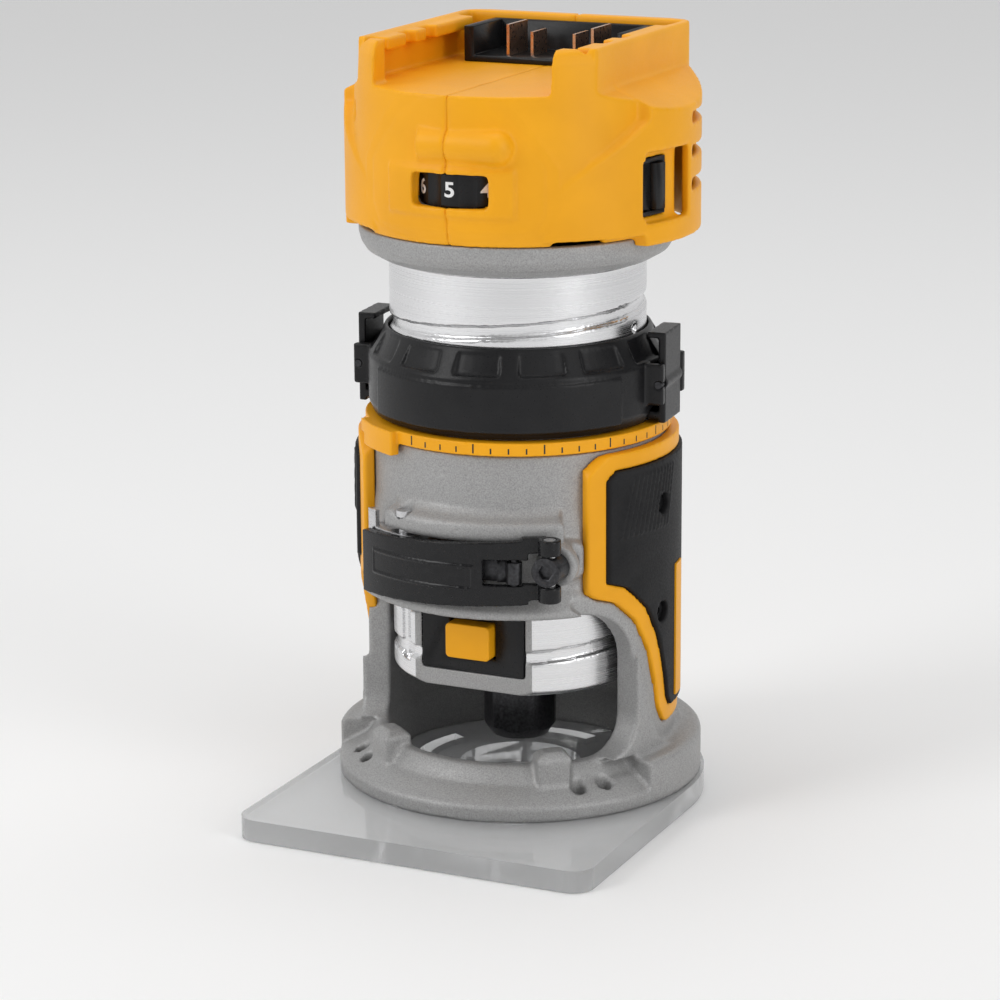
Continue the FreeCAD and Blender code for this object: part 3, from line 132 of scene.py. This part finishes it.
def make_materials():
    paints = {}

    cast = Paint("cast_aluminium", (0.5, 0.5, 0.505), 0.5, 0.45)
    grain = cast.noise(2700, 5)
    cast.tint(grain, (0.29, 0.288, 0.286), (0.45, 0.448, 0.446), 0.3, 0.7)
    cast.roughness(cast.noise(900, 3), 0.42, 0.62)
    cast.bump(grain, 0.09, 0.7)
    paints["cast"] = cast

    lathe = Paint("machined_aluminium", (0.80, 0.80, 0.81), 0.24, 1.0, Anisotropic=0.6)
    tangent = lathe.node("ShaderNodeTangent", direction_type="RADIAL", axis="Z")
    lathe.link(tangent.outputs["Tangent"], lathe.shader.inputs["Tangent"])
    rings = lathe.noise(1, 4, (3, 3, 3800))
    lathe.roughness(rings, 0.17, 0.33)
    lathe.tint(rings, (0.68, 0.68, 0.69), (0.84, 0.84, 0.85))
    lathe.bump(rings, 0.02, 0.5)
    paints["lathe"] = lathe

    yellow = Paint("yellow_plastic", (0.90, 0.40, 0.008), 0.42, 0.0, Specular_IOR_Level=0.28)
    spark = yellow.noise(2600, 3)
    yellow.tint(yellow.noise(60, 4), (0.88, 0.385, 0.006), (0.95, 0.425, 0.008))
    yellow.roughness(spark, 0.36, 0.5)
    yellow.bump(spark, 0.03, 0.5)
    paints["yellow"] = yellow

    black = Paint("black_plastic", (0.008, 0.008, 0.009), 0.34, 0.0, Specular_IOR_Level=0.28)
    fine = black.noise(2400, 3)
    black.roughness(fine, 0.26, 0.42)
    black.tint(black.noise(90, 3), (0.006, 0.006, 0.007), (0.011, 0.011, 0.012))
    black.bump(fine, 0.02, 0.5)
    paints["black"] = black

    rubber = Paint("black_rubber", (0.010, 0.010, 0.011), 0.6, 0.0, Specular_IOR_Level=0.25)
    pores = rubber.noise(1900, 5)
    rubber.roughness(pores, 0.5, 0.7)
    rubber.tint(rubber.noise(120, 3), (0.008, 0.008, 0.009), (0.014, 0.014, 0.015))
    rubber.bump(pores, 0.07, 0.6)
    paints["rubber"] = rubber

    enamel = Paint("black_steel", (0.007, 0.007, 0.008), 0.25, 0.0, Specular_IOR_Level=0.3)
    peel = enamel.noise(700, 3)
    enamel.roughness(peel, 0.2, 0.32)
    enamel.tint(peel, (0.005, 0.005, 0.006), (0.010, 0.010, 0.011))
    enamel.bump(peel, 0.03, 0.35)
    paints["enamel"] = enamel

    oxide = Paint("oxide_steel", (0.045, 0.045, 0.048), 0.38, 0.85)
    scratch = oxide.noise(1300, 5)
    oxide.roughness(scratch, 0.28, 0.5)
    oxide.tint(scratch, (0.03, 0.03, 0.032), (0.07, 0.07, 0.075))
    oxide.bump(scratch, 0.03, 0.4)
    paints["oxide"] = oxide

    steel = Paint("steel", (0.62, 0.62, 0.63), 0.3, 1.0)
    brush = steel.noise(400, 4, (1, 1, 14))
    steel.roughness(brush, 0.22, 0.4)
    steel.tint(brush, (0.52, 0.52, 0.53), (0.7, 0.7, 0.71))
    steel.bump(brush, 0.02, 0.4)
    paints["steel"] = steel

    copper = Paint("copper", (0.62, 0.44, 0.34), 0.3, 1.0)
    copper.roughness(copper.noise(900, 3), 0.24, 0.4)
    paints["copper"] = copper

    board = Paint("circuit_board", (0.02, 0.16, 0.06), 0.35)
    board.tint(board.noise(500, 2), (0.015, 0.13, 0.05), (0.03, 0.2, 0.08))
    paints["board"] = board

    clear = Paint("clear_plastic", (0.98, 0.985, 0.99), 0.08, 0.0, Transmission_Weight=0.72,
                  IOR=1.45)
    clear.roughness(clear.noise(300, 2), 0.05, 0.12)
    paints["clear"] = clear

    white = Paint("white_print", (0.82, 0.82, 0.82), 0.45)
    white.roughness(white.noise(900, 2), 0.4, 0.5)
    paints["white"] = white

    dark = Paint("black_print", (0.015, 0.015, 0.015), 0.5)
    dark.roughness(dark.noise(900, 2), 0.45, 0.6)
    paints["dark"] = dark
    return {name: paint.material for name, paint in paints.items()}


paint = make_materials()


# ---------------------------------------------------------------- mesh helpers

def evaluated(mesh, *modifiers):
    """The mesh after some modifiers, each given as its kind and settings."""
    work = bpy.data.objects.new("work", mesh)
    bpy.context.scene.collection.objects.link(work)
    for kind, settings in modifiers:
        modifier = work.modifiers.new(kind, kind)
        for name, value in settings.items():
            setattr(modifier, name, value)
    graph = bpy.context.evaluated_depsgraph_get()
    result = bpy.data.meshes.new_from_object(work.evaluated_get(graph))
    bpy.data.objects.remove(work)
    return result


def welded(mesh):
    copy = mesh.copy()
    work = bmesh.new()
    work.from_mesh(copy)
    bmesh.ops.remove_doubles(work, verts=work.verts, dist=1e-6)
    work.to_mesh(copy)
    work.free()
    return copy


def coordinates(mesh):
    points = np.empty(len(mesh.vertices) * 3, np.float32)
    mesh.vertices.foreach_get("co", points)
    return points.reshape(-1, 3).astype(float) / MM


def write_coordinates(mesh, points):
    mesh.vertices.foreach_set("co", (points * MM).astype(np.float32).ravel())
    mesh.update()


def on_profile(points, start, end, tolerance=0.16):
    """Move points near a turned face exactly onto it; each end is (radius, height)."""
    radius = np.hypot(points[:, 0], points[:, 1])
    (r0, z0), (r1, z1) = start, end
    if abs(z1 - z0) < 1e-6:
        return points
    share = (points[:, 2] - z0) / (z1 - z0)
    wanted = r0 + (r1 - r0) * share
    near = (np.abs(radius - wanted) < tolerance) & (share > -0.02) & (share < 1.02) & (radius > 1)
    scale = np.where(near, wanted / np.maximum(radius, 1e-6), 1.0)
    points[:, 0] *= scale
    points[:, 1] *= scale
    return points


def on_ellipse(points, half_x, half_y, centre_y, low, high, tolerance=0.16):
    x, y = points[:, 0] / half_x, (points[:, 1] - centre_y) / half_y
    reach = np.hypot(x, y)
    near = (np.abs(reach - 1) * min(half_x, half_y) < tolerance) & (points[:, 2] > low) \
        & (points[:, 2] < high)
    scale = np.where(near, 1 / np.maximum(reach, 1e-6), 1.0)
    points[:, 0] *= scale
    points[:, 1] = (points[:, 1] - centre_y) * scale + centre_y
    return points


def part_of(mesh, wanted):
    """A copy that keeps only the faces whose centre, in millimetres, passes the test."""
    copy = mesh.copy()
    work = bmesh.new()
    work.from_mesh(copy)
    dropped = [face for face in work.faces if not wanted(face.calc_center_median() / MM)]
    bmesh.ops.delete(work, geom=dropped, context="FACES")
    work.to_mesh(copy)
    work.free()
    return copy


def add_piece(name, mesh, body, material, stands_for=()):
    piece = bpy.data.objects.new(name, mesh)
    bpy.context.scene.collection.objects.link(piece)
    mesh.materials.clear()
    mesh.materials.append(material)
    for polygon in mesh.polygons:
        polygon.use_smooth = True
    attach(piece, body)
    if stands_for:
        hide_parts(*stands_for)
    return piece


def softened_mesh(node, voxel=0.6, rounds=3, profile=(), ellipses=(), seam=0):
    """A node's mesh made fine, with its turned faces true and its edges rounded.

    A seam is half the gap that is kept open on the YZ plane.
    """
    mesh = evaluated(welded(nodes[node].data),
                     ("REMESH", {"mode": "VOXEL", "voxel_size": voxel * MM}))
    points = coordinates(mesh)
    for start, end in profile:
        points = on_profile(points, start, end)
    for ellipse in ellipses:
        points = on_ellipse(points, *ellipse)
    write_coordinates(mesh, points)
    mesh = evaluated(mesh, ("SMOOTH", {"factor": 0.5, "iterations": rounds}))
    if seam:
        points = coordinates(mesh)
        near = np.abs(points[:, 0]) < SEAM_REACH
        points[near, 0] = np.where(points[near, 0] < 0, -seam, seam)
        write_coordinates(mesh, points)
    return mesh


def edged(node, body, material, slot, width=0.25, angle=30):
    """A stand-in for a small hard piece, with a narrow bevel on its edges."""
    mesh = welded(nodes[node].data)
    work = bmesh.new()
    work.from_mesh(mesh)
    bmesh.ops.dissolve_limit(work, angle_limit=math.radians(1.5), verts=work.verts,
                             edges=work.edges)
    work.to_mesh(mesh)
    work.free()
    mesh = evaluated(mesh, ("BEVEL", {"width": width * MM, "segments": 2, "limit_method": "ANGLE",
                                      "angle_limit": math.radians(angle),
                                      "harden_normals": True}))
    mesh.set_sharp_from_angle(angle=math.radians(40))
    return add_piece(node + "_look", mesh, body, material, (node,))


def crisp(node, body, material):
    """A stand-in with the node's own faces, flat where they are flat."""
    mesh = welded(nodes[node].data)
    mesh.set_sharp_from_angle(angle=math.radians(25))
    return add_piece(node + "_look", mesh, body, material, (node,))


def steps_of(points):
    return list(zip(points, points[1:]))


# ---------------------------------------------------------------- carried-over nodes

slots = {entry["node"]: entry["material_slot"] for entry in frame["record"]["subparts"]}
body_of = {node: body for body, members in frame["record"]["behaviour"]["bodies"].items()
           for node in members}
SLOT_PAINT = {"machined_aluminium": "lathe", "cast_aluminium": "cast", "yellow_plastic": "yellow",
              "black_plastic": "black", "grey_plastic": "black", "dial_grey": "black",
              "clear_plastic": "clear", "black_rubber": "rubber", "black_steel": "oxide",
              "steel": "steel", "copper": "copper", "circuit_board": "board"}
for name, thing in nodes.items():
    material = paint[SLOT_PAINT[slots[name]]]
    thing.data.materials.clear()
    thing.data.materials.append(material)


def soften(node, material, **options):
    mesh = softened_mesh(node, **options)
    return add_piece(node + "_look", mesh, body_of[node], paint[material], (node,))


def edge(node, material, **options):
    return edged(node, body_of[node], paint[material], slots[node], **options)


leg_profile = [(44.5, 18), (44.5, 62), (41, 67.5), (41, 80), (40, 88), (40, 103.4)]
soften("base_casting", "cast", voxel=0.65, rounds=5,
       profile=[((50, 6), (50, 17))] + steps_of(leg_profile)
       + [((36.7, 103.4), (36.7, 113)), ((34.8, 60.5), (34.8, 113)), ((36.5, 18.2), (36.5, 58)),
          ((36, 6), (36, 18)), ((49.9, 10.2), (46, 12.4)), ((46, 12.4), (42.5, 14.2))])
head_profile = [(42.5, 158.9), (43.5, 162.9), (43.7, 167.9), (43.7, 178.9), (43.3, 186),
                (43.0, 192), (42.6, 199), (42.2, 205.2), (41.3, 207.8), (40.3, 208.8)]
for side in ("left", "right"):
    soften("housing_" + side, "yellow", voxel=0.6, rounds=4, seam=0.03,
           profile=steps_of(head_profile) + [((44.5, 167), (44.5, 178.6))],
           ellipses=[(47.8, 46, 3.5, 156, 198)])
can_mesh = softened_mesh("motor_can", voxel=0.5, rounds=2, profile=[
    ((34.5, 37), (34.5, 150)), ((33.5, 37), (33.5, 150)), ((31.5, 42), (31.5, 151)),
    ((36.7, 150.1), (40.4, 152.2)), ((40.4, 152.2), (41.8, 154.4)), ((41.8, 154.4), (42.4, 156.8)),
    ((42.4, 156.8), (42.4, 158.8))])


def on_cast_part(centre):
    """The collar, and the flat frame around the lock, are left as cast."""
    on_frame = (centre.y < LOCK_FLAT + 0.4 and abs(centre.y - LOCK_FLAT) < 0.5
                and abs(centre.x) < LOCK_FRAME_HALF and centre.z < LOCK_FRAME_TOP)
    return centre.z > CAN_SHOULDER or on_frame


add_piece("motor_can_rough", part_of(can_mesh, on_cast_part), "motor", paint["cast"],
          ("motor_can",))
add_piece("motor_can_bright", part_of(can_mesh, lambda centre: not on_cast_part(centre)), "motor",
          paint["lathe"], ("motor_can",))
soften("depth_ring", "black", voxel=0.45, rounds=3, profile=[
    ((39, 107.6), (40.4, 111)), ((40.4, 111), (40.4, 123.4)), ((40.4, 123.4), (35.6, 131.2)),
    ((40.9, 109.5), (40.9, 122)), ((35, 113.3), (35, 131.2))])
soften("scale_ring", "yellow", voxel=0.4, rounds=2, profile=[
    ((41.4, 103.7), (41.4, 107.2)), ((43.5, 100.6), (43.5, 107.2))])
for side in ("left", "right"):
    soften("grip_frame_" + side, "yellow", voxel=0.45, rounds=4,
           profile=[((43.4, 20), (43.4, 103))])
    soften("grip_pad_" + side, "rubber", voxel=0.45, rounds=3,
           profile=[((44.3, 20), (44.3, 103))])
    soften("release_tab_" + side, "black", voxel=0.35, rounds=2)
soften("clamp_lever", "enamel", voxel=0.28, rounds=2, profile=[
    ((47.8, 60), (47.8, 90)), ((45.4, 60), (45.4, 90))])
soften("lock_button", "yellow", voxel=0.3, rounds=3)
edge("lock_panel", "black", width=0.4)
edge("power_rocker", "black", width=0.5)
edge("switch_body", "black", width=0.3)
edge("terminal_block", "black", width=0.3)
edge("anchor_bracket", "steel", width=0.2)
edge("adjusting_bolt", "oxide", width=0.3)
edge("collet_nut", "oxide", width=0.3)
crisp("sub_base", body_of["sub_base"], paint["clear"])
for name in ("link_pin", "tab_pins"):
    nodes[name].data.materials[0] = paint["oxide"]
edge("link_strap", "oxide", width=0.2)


# ---------------------------------------------------------------- marks

def numeral(text, bearing, size, radius, centre, level):
    """A numeral wrapped on an upright cylinder, as a thin mesh."""
    curve = bpy.data.curves.new("numeral", "FONT")
    curve.body = text
    curve.size = size
    curve.align_x = "CENTER"
    curve.align_y = "CENTER"
    curve.offset = 0.12
    curve.extrude = 0.03
    holder = bpy.data.objects.new("numeral", curve)
    bpy.context.scene.collection.objects.link(holder)
    graph = bpy.context.evaluated_depsgraph_get()
    mesh = bpy.data.meshes.new_from_object(holder.evaluated_get(graph))
    bpy.data.objects.remove(holder)
    flat = np.array([vertex.co[:] for vertex in mesh.vertices])
    angle = flat[:, 0] * 1.15 / radius + math.radians(bearing)
    reach = radius + 0.04 + flat[:, 2]
    points = np.column_stack((centre[0] + reach * np.sin(angle), centre[1] - reach * np.cos(angle),
                              level + flat[:, 1]))
    write_coordinates(mesh, points)
    return mesh


dial_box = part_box("speed_dial")
dial_centre = [(low + high) / 2 / MM for low, high in zip(*dial_box)]
for place in range(DIAL_PLACES):
    label = str((4 - place) % DIAL_PLACES + 1)
    bearing = 360 / DIAL_PLACES * place
    figure = numeral(label, bearing, 5.4, DIAL_RADIUS, dial_centre, dial_centre[2])
    add_piece("figure_" + label, figure, "dial", paint["white"])


def tick_ring(name, body, radius, low, count, step, start):
    """Short and long dark lines around a ring, as one mesh of thin plates."""
    points, faces = [], []
    for index in range(count):
        middle = math.radians(start + index * step)
        half = 0.2 / radius
        top = low + (2.5 if index % 4 == 0 else 1.5)
        for angle, level in ((middle - half, low), (middle + half, low), (middle + half, top),
                             (middle - half, top)):
            points.append((radius * math.sin(angle) * MM, -radius * math.cos(angle) * MM,
                           level * MM))
        faces.append(tuple(range(4 * index, 4 * index + 4)))
    mesh = bpy.data.meshes.new(name)
    mesh.from_pydata(points, [], faces)
    return add_piece(name, mesh, body, paint["dark"])


tick_ring("scale_lines", "scale_ring", 41.44, 104.4, 36, 6.5, -18)

# ---------------------------------------------------------------- studio

floor_mesh = bpy.data.meshes.new("floor")
floor_mesh.from_pydata([(-6, -6, -0.0002), (6, -6, -0.0002), (6, 6, -0.0002), (-6, 6, -0.0002)],
                       [], [(0, 1, 2, 3)])
floor = bpy.data.objects.new("floor", floor_mesh)
bpy.context.scene.collection.objects.link(floor)
floor_paint = Paint("floor", (0.93, 0.93, 0.93), 0.7)
floor_mesh.materials.append(floor_paint.material)

world = bpy.data.worlds.new("studio")
bpy.context.scene.world = world
world.use_nodes = True
tree = world.node_tree
around = tree.nodes.new("ShaderNodeTexCoord")
sweep = tree.nodes.new("ShaderNodeTexGradient")
sweep.gradient_type = "RADIAL"
bands = tree.nodes.new("ShaderNodeValToRGB")
# brightness around the room, by share of a full turn; the two darker bands shape the metal
BANDS = ((0.0, 1.0), (0.13, 1.0), (0.18, 0.42), (0.28, 0.42), (0.33, 1.0), (0.52, 1.0),
         (0.555, 0.16), (0.605, 0.16), (0.64, 1.0), (1.0, 1.0))
stops = bands.color_ramp.elements
for position, level in BANDS[1:-1]:
    stops.new(position)
for stop, (position, level) in zip(stops, BANDS):
    stop.position = position
    stop.color = (level, level, level, 1)
background = tree.nodes["Background"]
background.inputs["Strength"].default_value = 0.72
tree.links.new(around.outputs["Generated"], sweep.inputs["Vector"])
tree.links.new(sweep.outputs["Fac"], bands.inputs["Fac"])
tree.links.new(bands.outputs["Color"], background.inputs["Color"])


def softbox(name, at, power, width, height):
    light = bpy.data.lights.new(name, "AREA")
    light.shape = "RECTANGLE"
    light.size, light.size_y = width, height
    light.energy = power
    lamp = bpy.data.objects.new(name, light)
    lamp.location = at
    toward = Vector((0, 0, 0.11)) - Vector(at)
    lamp.rotation_euler = toward.to_track_quat("-Z", "Y").to_euler()
    bpy.context.scene.collection.objects.link(lamp)


softbox("key", (-0.75, -0.95, 0.85), 5.5, 0.5, 0.9)
softbox("fill", (1.1, -0.35, 0.5), 2.6, 0.35, 0.9)
softbox("top", (0, 0.1, 1.3), 3.5, 0.9, 0.9)
bpy.context.scene.view_settings.view_transform = "Standard"

camera_data = bpy.data.cameras.new("camera")
camera_data.lens = 122.9
camera_data.sensor_width = 36
camera = bpy.data.objects.new("camera", camera_data)
bpy.context.scene.collection.objects.link(camera)
drop, roll = -0.2577, math.radians(-0.38)
camera.location = (0.3758, -0.8167, 0.321)
forward = Vector((-0.409, 0.8755, drop)).normalized()
right = forward.cross(Vector((0, 0, 1))).normalized()
up = right.cross(forward)
right, up = (math.cos(roll) * right + math.sin(roll) * up,
             math.cos(roll) * up - math.sin(roll) * right)
camera.matrix_world = Matrix.Translation(camera.location) @ Matrix(
    (right, up, -forward)).transposed().to_4x4()
bpy.context.scene.camera = camera
